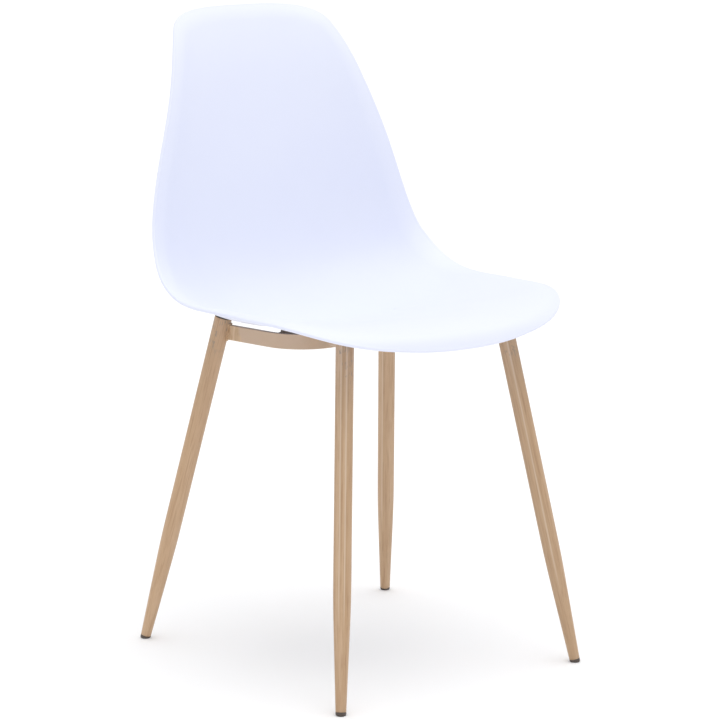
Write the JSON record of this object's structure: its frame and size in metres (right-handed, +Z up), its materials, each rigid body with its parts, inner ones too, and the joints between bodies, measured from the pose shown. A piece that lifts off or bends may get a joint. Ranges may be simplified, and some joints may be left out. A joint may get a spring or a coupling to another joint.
{
  "type": "dining chair",
  "caption": "Dining chair with a one-piece moulded bucket shell on a welded steel frame of splayed, wood-look tube legs joined by bow-shaped flat bars.",
  "frame": {"origin": "on the floor under the middle of the chair's bounding box", "axes": "+Z up, -Y is where the sitter faces, -X is the sitter's right"},
  "size_m": [0.4434, 0.4816, 0.8017],
  "materials": {
    "shell": "satin white moulded polypropylene with a fine grain",
    "leg_finish": "beech-look transfer film on steel tube, satin",
    "bar_paint": "satin beige powder coat",
    "foot_plastic": "dark brown plastic",
    "plug_plastic": "black plastic",
    "spacer_rubber": "matt black",
    "insert_brass": "turned",
    "zinc_steel": "zinc plated",
    "bolt_steel": "black oxide"
  },
  "bodies": {
    "root": {"seat_shell": "shell", "front_bow_bar": "bar_paint", "rear_bow_bar": "bar_paint", "front_right_leg": "leg_finish", "front_right_foot_cap": "foot_plastic", "front_right_top_plug": "plug_plastic", "front_right_mount_tab": "bar_paint", "front_left_leg": "leg_finish", "front_left_foot_cap": "foot_plastic", "front_left_top_plug": "plug_plastic", "front_left_mount_tab": "bar_paint", "rear_right_leg": "leg_finish", "rear_right_foot_cap": "foot_plastic", "rear_right_top_plug": "plug_plastic", "rear_right_mount_tab": "bar_paint", "rear_left_leg": "leg_finish", "rear_left_foot_cap": "foot_plastic", "rear_left_top_plug": "plug_plastic", "rear_left_mount_tab": "bar_paint", "mount_spacers": "spacer_rubber", "thread_inserts": "insert_brass", "flat_washers": "zinc_steel", "spring_washers": "zinc_steel", "seat_bolts": "bolt_steel", "leg_welds": "bar_paint", "tab_welds": "bar_paint", "joint_welds": "bar_paint"}
  },
  "joints": []
}
